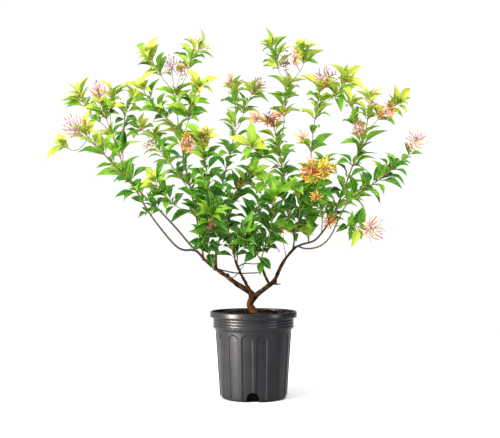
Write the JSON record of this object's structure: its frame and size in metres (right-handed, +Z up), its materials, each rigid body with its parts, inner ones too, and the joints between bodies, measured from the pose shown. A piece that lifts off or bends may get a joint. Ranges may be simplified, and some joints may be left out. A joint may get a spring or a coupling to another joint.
{
  "type": "potted firebush shrub",
  "caption": "Open, wide flowering shrub with whorled leaves and tubular orange-red flowers, rooted in a round fluted nursery pot that stands on its flat bottom.",
  "frame": {"origin": "centre of the pot's flat bottom, on the ground", "axes": "+Z up the pot's axis, -Y towards the front of the plant, +X to the right as seen from the front"},
  "size_m": [0.9765, 0.5502, 0.9939],
  "materials": {
    "pot_plastic": "satin blow-moulded black polyethylene",
    "potting_mix": "damp bark and peat potting mix",
    "bark": "thin red-brown bark, finely ridged",
    "leafy_shoot": "glossy green leaf with a paler midrib, on a green stem",
    "flower_head": "waxy orange-red flower tubes with pink stalks and buds"
  },
  "bodies": {
    "root": {"flower_head_centre_01": "flower_head", "flower_head_centre_02": "flower_head", "flower_head_centre_03": "flower_head", "flower_head_centre_04": "flower_head", "flower_head_centre_05": "flower_head", "flower_head_left_01": "flower_head", "flower_head_left_02": "flower_head", "flower_head_left_03": "flower_head", "flower_head_left_04": "flower_head", "flower_head_left_05": "flower_head", "flower_head_left_06": "flower_head", "flower_head_right_01": "flower_head", "flower_head_right_02": "flower_head", "flower_head_right_03": "flower_head", "flower_head_right_04": "flower_head", "flower_head_right_05": "flower_head", "flower_head_right_06": "flower_head", "flower_head_right_07": "flower_head", "leafy_shoot_centre_01": "leafy_shoot", "leafy_shoot_centre_02": "leafy_shoot", "leafy_shoot_centre_03": "leafy_shoot", "leafy_shoot_centre_04": "leafy_shoot", "leafy_shoot_centre_05": "leafy_shoot", "leafy_shoot_centre_06": "leafy_shoot", "leafy_shoot_centre_07": "leafy_shoot", "leafy_shoot_centre_08": "leafy_shoot", "leafy_shoot_centre_09": "leafy_shoot", "leafy_shoot_centre_10": "leafy_shoot", "leafy_shoot_centre_11": "leafy_shoot", "leafy_shoot_left_01": "leafy_shoot", "leafy_shoot_left_02": "leafy_shoot", "leafy_shoot_left_03": "leafy_shoot", "leafy_shoot_left_04": "leafy_shoot", "leafy_shoot_left_05": "leafy_shoot", "leafy_shoot_left_06": "leafy_shoot", "leafy_shoot_left_07": "leafy_shoot", "leafy_shoot_left_08": "leafy_shoot", "leafy_shoot_left_09": "leafy_shoot", "leafy_shoot_left_10": "leafy_shoot", "leafy_shoot_left_11": "leafy_shoot", "leafy_shoot_left_12": "leafy_shoot", "leafy_shoot_left_13": "leafy_shoot", "leafy_shoot_left_14": "leafy_shoot", "leafy_shoot_left_15": "leafy_shoot", "leafy_shoot_left_16": "leafy_shoot", "leafy_shoot_left_17": "leafy_shoot", "leafy_shoot_left_18": "leafy_shoot", "leafy_shoot_right_01": "leafy_shoot", "leafy_shoot_right_02": "leafy_shoot", "leafy_shoot_right_03": "leafy_shoot", "leafy_shoot_right_04": "leafy_shoot", "leafy_shoot_right_05": "leafy_shoot", "leafy_shoot_right_06": "leafy_shoot", "leafy_shoot_right_07": "leafy_shoot", "leafy_shoot_right_08": "leafy_shoot", "leafy_shoot_right_09": "leafy_shoot", "leafy_shoot_right_10": "leafy_shoot", "pot": "pot_plastic", "potting_mix": "potting_mix", "trunk_and_limbs": "bark"}
  },
  "joints": []
}
